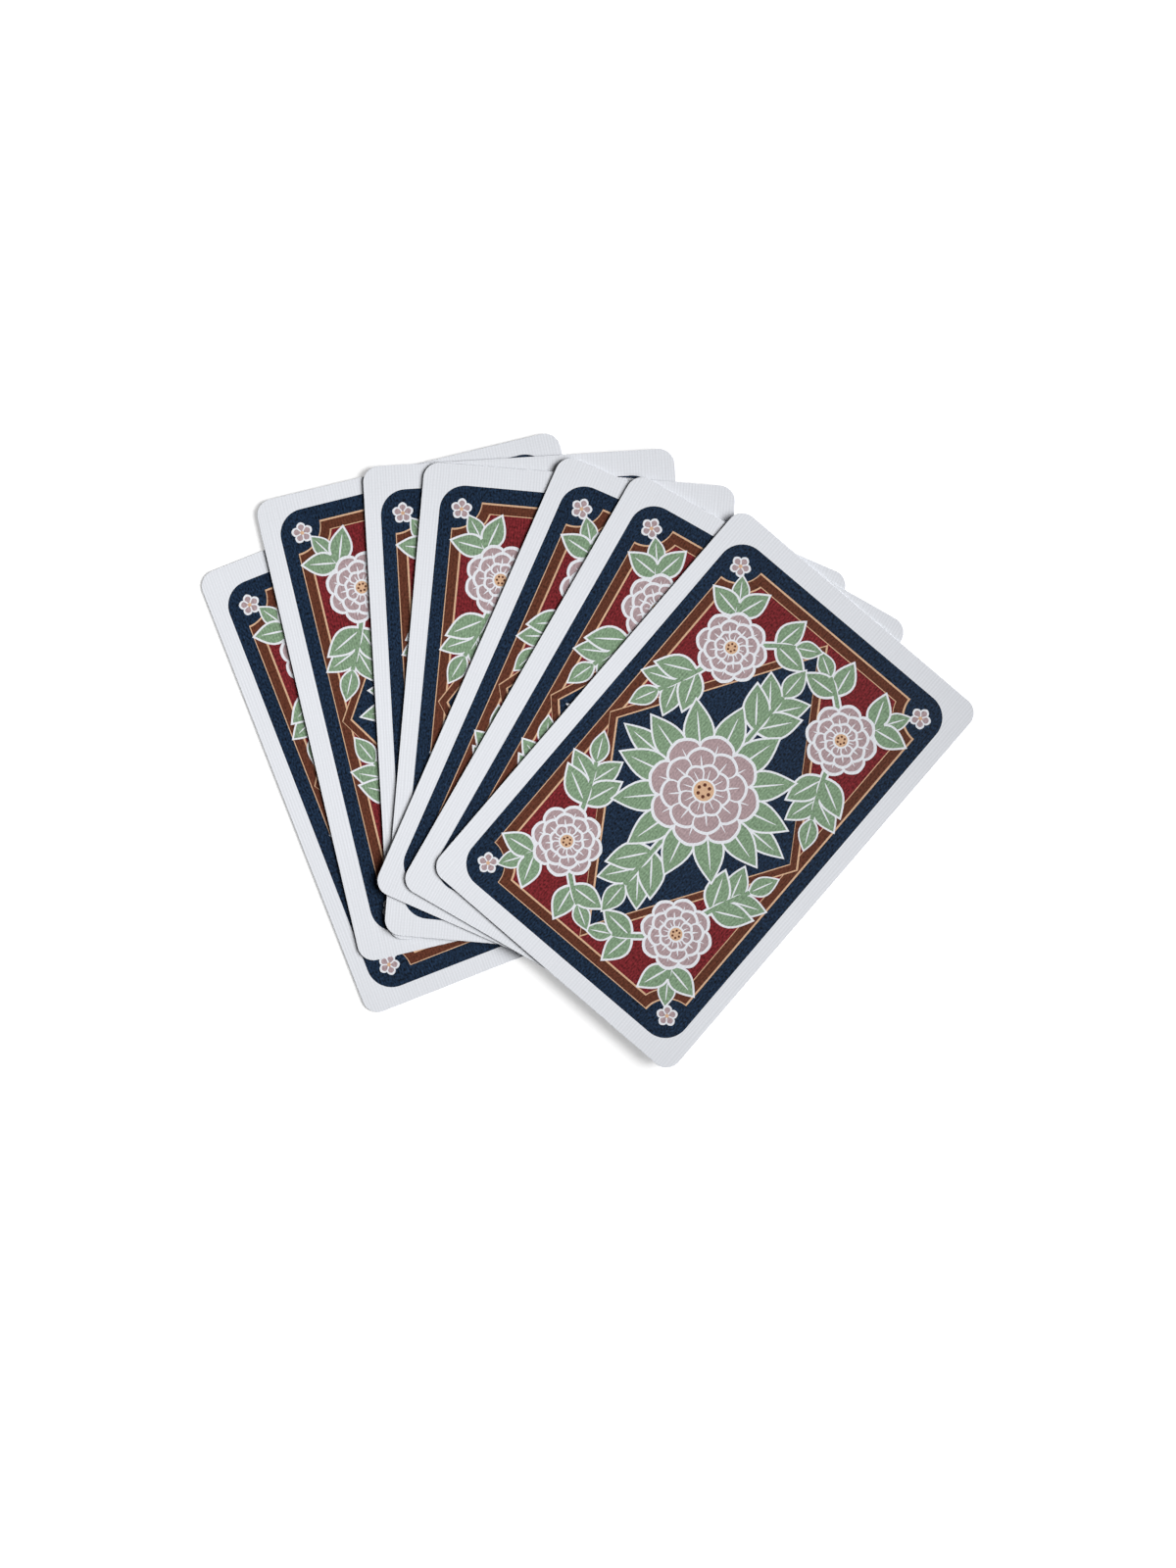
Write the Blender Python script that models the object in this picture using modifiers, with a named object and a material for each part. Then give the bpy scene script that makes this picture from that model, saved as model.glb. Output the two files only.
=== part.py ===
"""A fan of playing cards, laid face down and spread by hand.

Metres, +Z up, with the origin on the table under the middle of the fan. The bottom
card lies on the table. Every other card lies on the card beneath it and swivels on
it about an upright axis, so that the fan closes to a squared packet and opens wider.
"""

import math
from typing import NamedTuple

import bmesh
import bpy
from mathutils import Vector

MM = 0.001

# One card: two sheets of paper pasted back to back, die-cut, with a softened rim
CARD_WIDTH = 58.0 * MM
CARD_HEIGHT = 88.0 * MM
CARD_THICKNESS = 0.30 * MM
CORNER_RADIUS = 3.0 * MM
CORNER_SEGMENTS = 8
RIM_ROUNDING = 0.06 * MM
RIM_SEGMENTS = 2
RIM_ANGLE_DEG = 60.0

# The air that the embossed paper and its slight curl leave under each card
AIR_GAP = 0.06 * MM

# The bottom card leans this far to the left of +Y
BOTTOM_CARD_LEAN_DEG = 21.5

# How far each card is turned clockwise from the one beneath it, and where that turn is
# centred: across the width and along the height of the card beneath, from its middle
SECOND_CARD_TURN_DEG = 8.2
SECOND_CARD_ACROSS = 40.0 * MM
SECOND_CARD_ALONG = -56.0 * MM
THIRD_CARD_TURN_DEG = 10.0
THIRD_CARD_ACROSS = -8.5 * MM
THIRD_CARD_ALONG = -76.5 * MM
FOURTH_CARD_TURN_DEG = 8.2
FOURTH_CARD_ACROSS = -21.0 * MM
FOURTH_CARD_ALONG = -37.5 * MM
FIFTH_CARD_TURN_DEG = 18.7
FIFTH_CARD_ACROSS = -5.5 * MM
FIFTH_CARD_ALONG = -31.5 * MM
SIXTH_CARD_TURN_DEG = 6.2
SIXTH_CARD_ACROSS = -1.5 * MM
SIXTH_CARD_ALONG = -82.5 * MM
TOP_CARD_TURN_DEG = 10.9
TOP_CARD_ACROSS = 1.0 * MM
TOP_CARD_ALONG = -59.0 * MM

# White card stock under a satin varnish
STOCK_COLOUR = (0.78, 0.80, 0.83, 1.0)
STOCK_ROUGHNESS = 0.55


class Swivel(NamedTuple):
    """How a card is spread from the one beneath it.

    turn_deg is its clockwise turn, seen from above. The turn's centre is measured from
    the middle of the card beneath, across its width and along its height. Turned back
    by turn_deg about that centre, a card lies square on the one beneath it. A card that
    was slid as it was turned has the centre outside its outline.
    """

    card: str
    turn_deg: float
    across: float
    along: float


BOTTOM_CARD = "bottom_card"
SWIVELS = (
    Swivel("second_card", SECOND_CARD_TURN_DEG, SECOND_CARD_ACROSS, SECOND_CARD_ALONG),
    Swivel("third_card", THIRD_CARD_TURN_DEG, THIRD_CARD_ACROSS, THIRD_CARD_ALONG),
    Swivel("fourth_card", FOURTH_CARD_TURN_DEG, FOURTH_CARD_ACROSS, FOURTH_CARD_ALONG),
    Swivel("fifth_card", FIFTH_CARD_TURN_DEG, FIFTH_CARD_ACROSS, FIFTH_CARD_ALONG),
    Swivel("sixth_card", SIXTH_CARD_TURN_DEG, SIXTH_CARD_ACROSS, SIXTH_CARD_ALONG),
    Swivel("top_card", TOP_CARD_TURN_DEG, TOP_CARD_ACROSS, TOP_CARD_ALONG),
)


def clear_scene():
    """Removes every object that the scene starts with."""
    for leftover in list(bpy.data.objects):
        bpy.data.objects.remove(leftover, do_unlink=True)


def new_collection(name):
    """A collection in the scene for the object's parts."""
    collection = bpy.data.collections.new(name)
    bpy.context.scene.collection.children.link(collection)
    return collection


def card_stock(card):
    """The white stock of one card, with the satin look of varnished paper."""
    stock = bpy.data.materials.new(card + "_stock")
    stock.use_nodes = True
    shader = stock.node_tree.nodes["Principled BSDF"]
    shader.inputs["Base Color"].default_value = STOCK_COLOUR
    shader.inputs["Roughness"].default_value = STOCK_ROUGHNESS
    shader.inputs["Metallic"].default_value = 0.0
    return stock


def is_upright(edge):
    """Whether an edge of the plate runs through its thickness."""
    lower, upper = edge.verts
    return abs(upper.co.z - lower.co.z) > CARD_THICKNESS / 2


def card_mesh(card, middle):
    """A flat plate with rounded corners. Its middle is at middle, its underside at z = 0."""
    plate = bmesh.new()
    bmesh.ops.create_cube(plate, size=1.0)
    bmesh.ops.scale(plate, vec=(CARD_WIDTH, CARD_HEIGHT, CARD_THICKNESS), verts=plate.verts)
    bmesh.ops.bevel(
        plate,
        geom=[edge for edge in plate.edges if is_upright(edge)],
        offset=CORNER_RADIUS,
        segments=CORNER_SEGMENTS,
        profile=0.5,
        affect="EDGES",
    )
    lift = Vector((0.0, 0.0, CARD_THICKNESS / 2))
    bmesh.ops.translate(plate, vec=middle + lift, verts=plate.verts)
    mesh = bpy.data.meshes.new(card)
    plate.to_mesh(mesh)
    plate.free()
    return mesh


def add_card(card, middle, collection):
    """One card as an object whose origin is its swivel axis, middle away from its own middle."""
    sheet = bpy.data.objects.new(card, card_mesh(card, middle))
    sheet.data.materials.append(card_stock(card))
    collection.objects.link(sheet)
    rim = sheet.modifiers.new("softened rim", "BEVEL")
    rim.width = RIM_ROUNDING
    rim.segments = RIM_SEGMENTS
    rim.limit_method = "ANGLE"
    rim.angle_limit = math.radians(RIM_ANGLE_DEG)
    return sheet


def spread_fan(collection):
    """Lays the bottom card, then each card on the one beneath it, and returns them all."""
    middle = Vector((0.0, 0.0, 0.0))
    bottom = add_card(BOTTOM_CARD, middle, collection)
    bottom.rotation_euler.z = math.radians(BOTTOM_CARD_LEAN_DEG)
    cards = [bottom]
    for swivel in SWIVELS:
        axis_from_middle = Vector((swivel.across, swivel.along, 0.0))
        sheet = add_card(swivel.card, -axis_from_middle, collection)
        sheet.parent = cards[-1]
        sheet.location = middle + axis_from_middle + Vector((0.0, 0.0, CARD_THICKNESS + AIR_GAP))
        sheet.rotation_euler.z = -math.radians(swivel.turn_deg)
        middle = -axis_from_middle
        cards.append(sheet)
    return cards


def centre_on_origin(cards):
    """Moves the bottom card, which carries the rest, so that the fan's box is centred on the origin."""
    bpy.context.view_layer.update()
    corners = [sheet.matrix_world @ vertex.co for sheet in cards for vertex in sheet.data.vertices]
    for axis in (0, 1):
        places = [corner[axis] for corner in corners]
        cards[0].location[axis] -= (min(places) + max(places)) / 2
    bpy.context.view_layer.update()


def main():
    """Builds the fan in an empty scene."""
    clear_scene()
    cards = spread_fan(new_collection("playing_card_fan"))
    centre_on_origin(cards)


main()
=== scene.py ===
"""The looks of a fan of playing cards, laid backs up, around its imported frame.

Metres, +Z up, in the frame's own axes. Every card is one closed sheet. Its printed back and
its printed face are cut into regions of ink, and the softened rim between them shows the
white stock with the dark paste in its middle. All the inks lie on one linen embossing, which
follows the card's own edges. A print is drawn on the card's plan: millimetres from the
card's middle, across its width and along its height.
"""

from __future__ import annotations

import logging
import math
from dataclasses import dataclass, field, replace
from enum import Enum, auto
from typing import Callable, Iterable, NamedTuple, Sequence

import bpy
from mathutils import Euler, Matrix, Vector
from mathutils.geometry import delaunay_2d_cdt

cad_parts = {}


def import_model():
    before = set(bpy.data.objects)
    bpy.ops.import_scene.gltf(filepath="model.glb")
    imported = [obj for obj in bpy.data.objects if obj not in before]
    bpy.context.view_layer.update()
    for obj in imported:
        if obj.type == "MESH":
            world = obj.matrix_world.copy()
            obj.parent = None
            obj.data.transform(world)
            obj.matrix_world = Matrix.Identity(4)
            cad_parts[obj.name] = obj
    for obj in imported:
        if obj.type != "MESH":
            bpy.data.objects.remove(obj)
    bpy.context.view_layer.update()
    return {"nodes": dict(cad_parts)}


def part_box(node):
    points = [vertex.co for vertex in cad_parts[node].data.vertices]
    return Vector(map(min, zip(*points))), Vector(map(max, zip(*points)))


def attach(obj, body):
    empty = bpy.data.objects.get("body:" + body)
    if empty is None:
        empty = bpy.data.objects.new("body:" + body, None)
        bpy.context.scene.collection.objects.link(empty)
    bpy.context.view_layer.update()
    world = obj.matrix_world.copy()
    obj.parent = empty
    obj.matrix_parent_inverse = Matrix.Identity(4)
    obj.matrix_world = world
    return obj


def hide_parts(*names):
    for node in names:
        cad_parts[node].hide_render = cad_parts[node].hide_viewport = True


log = logging.getLogger("card_fan")

MM = 0.001
PLAN_MAP = "card_plan"
BAKE_MAP = "OFBake"
WHITE = (1.0, 1.0, 1.0, 1.0)

Point = tuple[float, float]
Loop = list[Point]
Colour = tuple[float, float, float]

MIDDLE: Point = (0.0, 0.0)


# Objects in the scene


def add_object(name: str, data: bpy.types.ID) -> bpy.types.Object:
    """Adds an object to the scene, at the origin.

    Args:
        name: the object's name.
        data: its mesh, text, lamp or camera.

    Returns:
        The new object.
    """
    added = bpy.data.objects.new(name, data)
    bpy.context.scene.collection.objects.link(added)
    return added


def take_mesh(host: bpy.types.Object) -> bpy.types.Mesh:
    """Turns an object into the mesh that its text or its modifier gives.

    Args:
        host: the object, which is removed.

    Returns:
        The new mesh.
    """
    made = host.evaluated_get(bpy.context.evaluated_depsgraph_get())
    mesh = bpy.data.meshes.new_from_object(made)
    bpy.data.objects.remove(host)
    return mesh


# Node boards


class TreeKind(Enum):
    """The kinds of node group, by Blender's names."""

    SHADER = "ShaderNodeTree"
    GEOMETRY = "GeometryNodeTree"


class Socket(Enum):
    """The kinds of socket that a group has, by Blender's names."""

    FLOAT = "NodeSocketFloat"
    INT = "NodeSocketInt"
    VECTOR = "NodeSocketVector"
    COLOUR = "NodeSocketColor"
    GEOMETRY = "NodeSocketGeometry"
    MATERIAL = "NodeSocketMaterial"


def math_sign(operation: str, swapped: bool = False) -> Callable[..., Wire]:
    """Makes the method of Wire that stands behind a sign in a formula.

    Args:
        operation: what the sign's Math node does.
        swapped: whether the other term comes before the wire.

    Returns:
        The method.
    """

    def sign(wire: Wire, *other: Term) -> Wire:
        """Adds the sign's Math node."""
        terms = (*other, wire) if swapped else (wire, *other)
        return wire.board.math(operation, *terms)

    return sign


class Wire:
    """A node's output, written in formulas as a number is: each sign adds a Math node."""

    def __init__(self, board: Board, socket: bpy.types.NodeSocket) -> None:
        """Holds an output socket and the board that it is on."""
        self.board = board
        self.socket = socket

    __add__ = math_sign("ADD")
    __radd__ = math_sign("ADD", swapped=True)
    __sub__ = math_sign("SUBTRACT")
    __rsub__ = math_sign("SUBTRACT", swapped=True)
    __mul__ = math_sign("MULTIPLY")
    __truediv__ = math_sign("DIVIDE")
    __pow__ = math_sign("POWER")
    __abs__ = math_sign("ABSOLUTE")


Term = Wire | float
Inputs = dict[str | int, object]


class Board:
    """A node tree with short calls that add nodes and formulas to it."""

    def __init__(self, tree: bpy.types.NodeTree) -> None:
        """Holds a tree, which may have nodes already."""
        self.tree = tree

    def add(self, kind: str, inputs: Inputs | None = None, **settings: object) -> bpy.types.Node:
        """Adds a node.

        Args:
            kind: the node's type.
            inputs: a wire or a plain value for each input, by name or number.
            settings: the node's own properties.

        Returns:
            The new node.
        """
        node = self.tree.nodes.new(kind)
        for title, value in settings.items():
            setattr(node, title, value)
        for key, value in (inputs or {}).items():
            self.feed(node.inputs[key], value)
        return node

    def wire(
        self, kind: str, inputs: Inputs | None = None, out: str | int = 0, **settings: object
    ) -> Wire:
        """Adds a node as add does, and returns one of its outputs."""
        return Wire(self, self.add(kind, inputs, **settings).outputs[out])

    def feed(self, socket: bpy.types.NodeSocket, value: object) -> None:
        """Gives a socket its value.

        Args:
            socket: the input socket.
            value: a wire, which is linked to it, or a plain value, which is set on it.
        """
        if isinstance(value, Wire):
            self.tree.links.new(value.socket, socket)
        else:
            socket.default_value = value

    def math(self, operation: str, *terms: Term) -> Wire:
        """One Math node on the terms."""
        return self.wire("ShaderNodeMath", dict(enumerate(terms)), operation=operation)

    def vector(self, x: Term, y: Term, z: Term = 0.0) -> Wire:
        """Three terms as one vector."""
        return self.wire("ShaderNodeCombineXYZ", {"X": x, "Y": y, "Z": z})

    def parts(self, vector: Wire) -> tuple[Wire, Wire]:
        """The first two terms of a vector."""
        split = self.add("ShaderNodeSeparateXYZ", {"Vector": vector})
        return Wire(self, split.outputs["X"]), Wire(self, split.outputs["Y"])

    def noise(self, x: Wire, y: Wire, per_unit: Point, detail: float) -> Wire:
        """Flat noise.

        Args:
            x: the place on its first axis.
            y: the place on its second axis.
            per_unit: how often the noise changes in one unit of each axis.
            detail: how many finer layers it has.

        Returns:
            Its value, from 0 to 1 about a middle of 0.5.
        """
        place = self.vector(x * per_unit[0], y * per_unit[1])
        inputs = {"Vector": place, "Scale": 1.0, "Detail": detail}
        return self.wire("ShaderNodeTexNoise", inputs, "Fac", noise_dimensions="2D")

    def ramp(self, value: Wire, low: float, high: float) -> Wire:
        """A smooth step from 0 at low to 1 at high."""
        inputs = {"Value": value, "From Min": low, "From Max": high}
        return self.wire("ShaderNodeMapRange", inputs, interpolation_type="SMOOTHSTEP")


class GroupBoard(Board):
    """The board of a new node group, which has named sockets of its own."""

    def __init__(
        self, kind: TreeKind, name: str, inputs: dict[str, Socket], outputs: dict[str, Socket]
    ) -> None:
        """Makes the group.

        Args:
            kind: what the group is for.
            name: its name.
            inputs: the kind of each input, by name.
            outputs: the kind of each output, by name.
        """
        super().__init__(bpy.data.node_groups.new(name, kind.value))
        for in_out, sockets in (("INPUT", inputs), ("OUTPUT", outputs)):
            for title, socket in sockets.items():
                self.tree.interface.new_socket(title, in_out=in_out, socket_type=socket.value)
        self.entry = self.add("NodeGroupInput")
        self.exit = self.add("NodeGroupOutput")

    def given(self, title: str) -> Wire:
        """The group's own input of that name."""
        return Wire(self, self.entry.outputs[title])

    def put(self, title: str, value: Wire) -> None:
        """Sends a value to the group's own output of that name."""
        self.feed(self.exit.inputs[title], value)


class MaterialBoard(Board):
    """The board of a new material, with its Principled shader."""

    def __init__(self, name: str) -> None:
        """Makes the material."""
        self.material = bpy.data.materials.new(name)
        self.material.use_nodes = True
        super().__init__(self.material.node_tree)
        self.shader = self.tree.nodes["Principled BSDF"]

    def look(self, title: str, value: object) -> None:
        """Gives the shader's input of that name a wire or a plain value."""
        self.feed(self.shader.inputs[title], value)


# Inks and finishes


@dataclass(frozen=True)
class Finish:
    """How one ink, or the bare stock, looks under the satin varnish.

    Attributes:
        colour: its linear colour.
        grain: how strongly its tone changes from one fine speck to the next.
        ribs: how strongly its tone follows the embossing, darker in the hollows and lighter on the tops:
            partly the thinner ink in the hollows, partly painted shade of the embossing.
        mottle: how far its tone wanders over the card.
        roughness: how dull the varnish is on it.
        emboss: the share of the embossing's depth that it has.
    """

    colour: Colour
    grain: float
    ribs: float
    mottle: float
    roughness: float
    emboss: float = 1.0


class Ink(Enum):
    """What covers a region of a card's surface."""

    # Each ink's ribs value darkens it in the embossing's hollows: partly thinner ink there, partly
    # painted shade of the embossing.
    PAPER = Finish((0.776, 0.795, 0.838), grain=0.08, ribs=0.20, mottle=0.03, roughness=0.55)
    NAVY = Finish((0.0085, 0.0210, 0.0460), grain=3.90, ribs=0.75, mottle=0.30, roughness=0.50)
    CRIMSON = Finish((0.168, 0.0160, 0.0205), grain=2.40, ribs=0.70, mottle=0.20, roughness=0.50)
    BROWN = Finish((0.110, 0.0330, 0.0180), grain=1.65, ribs=0.50, mottle=0.20, roughness=0.50)
    TAN = Finish((0.660, 0.420, 0.265), grain=0.45, ribs=0.20, mottle=0.10, roughness=0.52)
    SAGE = Finish((0.213, 0.320, 0.203), grain=1.20, ribs=0.42, mottle=0.12, roughness=0.52)
    PINK = Finish((0.408, 0.300, 0.314), grain=0.76, ribs=0.32, mottle=0.10, roughness=0.52)
    PIP_RED = Finish((0.402, 0.020, 0.024), grain=0.65, ribs=0.30, mottle=0.10, roughness=0.50)
    PIP_BLACK = Finish((0.010, 0.010, 0.012), grain=1.50, ribs=0.45, mottle=0.20, roughness=0.50)
    RIM = Finish((0.776, 0.795, 0.838), grain=0.15, ribs=0.05, mottle=0.05, roughness=0.60, emboss=0.2)
    CUT_STOCK = Finish((0.64, 0.65, 0.66), grain=0.80, ribs=0.10, mottle=0.10, roughness=0.75, emboss=0.2)
    PASTE = Finish((0.050, 0.055, 0.065), grain=1.60, ribs=0.10, mottle=0.20, roughness=0.80, emboss=0.2)


@dataclass(frozen=True)
class LinenEmboss:
    """The embossing: fine ribs along the card and across it, uneven as woven threads are.

    Attributes:
        pitch: from rib to rib, in millimetres.
        depth: from the lowest place to the highest, in metres.
        along: how strongly the ribs along the card stand out.
        across: how strongly the ribs across it do.
        weave: how strongly the two sets interrupt each other.
        sway: how far a rib wanders sideways, in ribs.
        sway_per_mm: how often that wandering changes, across the ribs and along them.
        thread: how high a rib stands where its thread is thickest.
        thread_per_mm: how often the thread's thickness changes, across the ribs and along them.
    """

    pitch: float = 0.545
    depth: float = 0.011 * MM
    along: float = 0.25
    across: float = 0.06
    weave: float = 0.07
    sway: float = 0.35
    sway_per_mm: Point = (0.9, 0.06)
    thread: float = 1.6
    thread_per_mm: Point = (1.8, 0.22)

    def ribs(self, board: Board, beside: Wire, lengthwise: Wire) -> Wire:
        """One set of ribs.

        Args:
            board: the board to draw on.
            beside: the place across the ribs, in millimetres.
            lengthwise: the place along the ribs, in millimetres.

        Returns:
            Their height, from about -1 to 1.
        """
        drift = board.noise(beside, lengthwise, self.sway_per_mm, detail=1.0)
        thickness = board.noise(beside, lengthwise, self.thread_per_mm, detail=2.0)
        turns = beside / self.pitch + (drift - 0.5) * (2.0 * self.sway)
        return board.math("SINE", turns * math.tau) * (thickness * self.thread)

    def group(self) -> bpy.types.NodeTree:
        """The shader group of the embossing.

        Returns:
            The group, which puts out the height, from about 0 to 1.
        """
        inputs = {"Plan": Socket.VECTOR}
        board = GroupBoard(TreeKind.SHADER, "linen_emboss", inputs, {"Height": Socket.FLOAT})
        x, y = board.parts(board.given("Plan"))
        warp = self.ribs(board, x, y)
        weft = self.ribs(board, y, x)
        board.put("Height", 0.5 + warp * self.along + weft * self.across + warp * weft * self.weave)
        return board.tree


@dataclass(frozen=True)
class InkGrain:
    """The print's grain: a tone that changes in fine specks, slowly, and with the embossing, darker in
    its hollows partly from thinner ink and partly as painted shade.

    Attributes:
        specks_per_mm: how fine the specks are, across the card and along it.
        wander_per_mm: how slowly the tone wanders, across the card and along it.
        dulling: how far the roughness follows the specks.
        shining: how far the tops of the ribs shine more than the hollows.
    """

    specks_per_mm: Point = (3.4, 2.0)
    wander_per_mm: Point = (0.11, 0.11)
    dulling: float = 0.16
    shining: float = 0.18

    def group(self) -> bpy.types.NodeTree:
        """The shader group of the grain.

        Returns:
            The group, which puts out the print's colour and roughness.
        """
        shares = ("Height", "Grain", "Ribs", "Mottle", "Dullness")
        inputs = {"Plan": Socket.VECTOR, "Ink": Socket.COLOUR, **dict.fromkeys(shares, Socket.FLOAT)}
        outputs = {"Colour": Socket.COLOUR, "Roughness": Socket.FLOAT}
        board = GroupBoard(TreeKind.SHADER, "ink_grain", inputs, outputs)
        x, y = board.parts(board.given("Plan"))
        specks = board.noise(x, y, self.specks_per_mm, detail=2.0) - 0.5
        wander = board.noise(x, y, self.wander_per_mm, detail=3.0) - 0.5
        ribs = board.given("Height") - 0.5
        # The tone follows the embossing's height, darker in the hollows: partly thinner ink, partly
        # painted shade of the embossing.
        tone = 1.0 + specks * board.given("Grain") + ribs * board.given("Ribs")
        tone = board.math("MAXIMUM", tone + wander * board.given("Mottle"), 0.0)
        toned = {0: board.given("Ink"), "Scale": tone}
        board.put("Colour", board.wire("ShaderNodeVectorMath", toned, operation="SCALE"))
        board.put("Roughness", board.given("Dullness") + specks * self.dulling - ribs * self.shining)
        return board.tree


class PrintShop:
    """Makes the material of each ink once, all on one embossing and one grain.

    Attributes:
        SHEEN_LEVEL: how strongly the varnish mirrors the light, by the shader's own measure.
    """

    SHEEN_LEVEL = 0.20

    def __init__(self) -> None:
        """Builds the two shader groups and then a material for every ink."""
        self.linen = LinenEmboss()
        self.linen_group = self.linen.group()
        self.grain_group = InkGrain().group()
        self.materials = {ink: self.mix(ink) for ink in Ink}
        self.inks = {material.name: ink for ink, material in self.materials.items()}

    def mix(self, ink: Ink) -> bpy.types.Material:
        """One ink's material.

        Args:
            ink: the ink to mix.

        Returns:
            The new material.
        """
        finish: Finish = ink.value
        board = MaterialBoard(f"{ink.name.lower()}_finish")
        plan = board.wire("ShaderNodeUVMap", uv_map=PLAN_MAP)
        height = board.wire("ShaderNodeGroup", {"Plan": plan}, "Height", node_tree=self.linen_group)
        printed = {
            "Plan": plan,
            "Height": height,
            "Ink": (*finish.colour, 1.0),
            "Grain": finish.grain,
            "Ribs": finish.ribs,
            "Mottle": finish.mottle,
            "Dullness": finish.roughness,
        }
        grain = board.add("ShaderNodeGroup", printed, node_tree=self.grain_group)
        relief = {"Height": height, "Distance": self.linen.depth, "Strength": finish.emboss}
        board.look("Base Color", Wire(board, grain.outputs["Colour"]))
        board.look("Roughness", Wire(board, grain.outputs["Roughness"]))
        board.look("Normal", board.wire("ShaderNodeBump", relief))
        board.look("Specular IOR Level", self.SHEEN_LEVEL)
        return board.material


# Regions of a print


class Region(NamedTuple):
    """A closed loop on the plan, filled with one ink."""

    loop: Loop
    ink: Ink


def arc(centre: Point, radius: float, start_deg: float, end_deg: float, steps: int) -> Loop:
    """Points on an arc, both ends among them."""
    angles = [math.radians(start_deg + (end_deg - start_deg) * i / steps) for i in range(steps + 1)]
    return [(centre[0] + radius * math.cos(a), centre[1] + radius * math.sin(a)) for a in angles]


def disc(centre: Point, radius: float, steps: int = 24) -> Loop:
    """A round loop."""
    return arc(centre, radius, 0.0, 360.0, steps)[:-1]


def rounded_panel(half_width: float, half_height: float, radius: float, steps: int) -> Loop:
    """A rectangle about the middle, with rounded corners.

    Args:
        half_width: half its width.
        half_height: half its height.
        radius: the corners' radius.
        steps: the steps of a corner.

    Returns:
        The loop.
    """
    x, y = half_width - radius, half_height - radius
    corners = ((x, y, 0.0), (-x, y, 90.0), (-x, -y, 180.0), (x, -y, 270.0))
    return [p for cx, cy, start in corners for p in arc((cx, cy), radius, start, start + 90.0, steps)]


def scooped_panel(
    half_width: float, half_height: float, radius: float, inset: float, steps: int
) -> Loop:
    """A rectangle with a hollow scoop at each corner, moved inwards by inset all round.

    Args:
        half_width: half the rectangle's width, before the inset.
        half_height: half its height, before the inset.
        radius: the scoops' radius, about the rectangle's corners, before the inset.
        inset: how far inside that outline the loop runs.
        steps: the steps of a scoop.

    Returns:
        The loop.
    """
    reach = radius + inset
    swing = math.degrees(math.asin(inset / reach))
    corners = ((1, 1, 270.0), (-1, 1, 0.0), (-1, -1, 90.0), (1, -1, 180.0))
    loop = []
    for across, along, start in corners:
        corner = (across * half_width, along * half_height)
        loop += arc(corner, reach, start - swing, start - 90.0 + swing, steps)
    return loop


def lozenge(half_width: float, half_height: float, inset: float) -> Loop:
    """A lozenge about the middle, moved inwards by inset all round.

    Args:
        half_width: half its width, before the inset.
        half_height: half its height, before the inset.
        inset: how far inside that outline the loop runs.

    Returns:
        The loop.
    """
    share = 1.0 - inset * math.hypot(half_width, half_height) / (half_width * half_height)
    x, y = half_width * share, half_height * share
    return [(x, 0.0), (0.0, y), (-x, 0.0), (0.0, -y)]


def heart(steps: int = 40, scale: float = 0.030, lift: float = 2.5) -> Loop:
    """A heart round the middle, almost one unit high and wide, by the common formula.

    Args:
        steps: how many points it has.
        scale: what brings the formula's heart to that size.
        lift: what brings its middle to the origin, before that.

    Returns:
        The loop.
    """
    loop = []
    for i in range(steps):
        t = math.tau * i / steps
        y = 13 * math.cos(t) - 5 * math.cos(2 * t) - 2 * math.cos(3 * t) - math.cos(4 * t)
        loop.append((scale * 16 * math.sin(t) ** 3, scale * (y + lift)))
    return loop


def moved(
    regions: Iterable[Region], by: Point, size: float = 1.0, turn_deg: float = 0.0
) -> list[Region]:
    """Regions scaled and turned about the middle and then moved.

    Args:
        regions: what to move.
        by: how far to move it, across and along.
        size: how many times larger it becomes.
        turn_deg: how far it turns anticlockwise.

    Returns:
        The moved regions, in the same order.
    """
    cos, sin = size * math.cos(math.radians(turn_deg)), size * math.sin(math.radians(turn_deg))
    return [
        Region([(by[0] + x * cos - y * sin, by[1] + x * sin + y * cos) for x, y in loop], ink)
        for loop, ink in regions
    ]


def mirrored(regions: Iterable[Region], across: int, along: int) -> list[Region]:
    """Regions flipped where across or along is -1."""
    return [Region([(x * across, y * along) for x, y in loop], ink) for loop, ink in regions]


def in_four_corners(regions: Sequence[Region]) -> list[Region]:
    """Regions of the upper right quarter, repeated in all four."""
    return [region for sx in (1, -1) for sy in (1, -1) for region in mirrored(regions, sx, sy)]


def area(loop: Loop) -> float:
    """The area inside a loop, below 0 if it runs clockwise."""
    return sum(a[0] * b[1] - b[0] * a[1] for a, b in zip(loop, loop[1:] + loop[:1])) / 2.0


def anticlockwise(loop: Loop) -> Loop:
    """The loop, turned round if it runs clockwise."""
    return loop if area(loop) > 0 else loop[::-1]


# Leaves and petals, by Geometry Nodes


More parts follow.
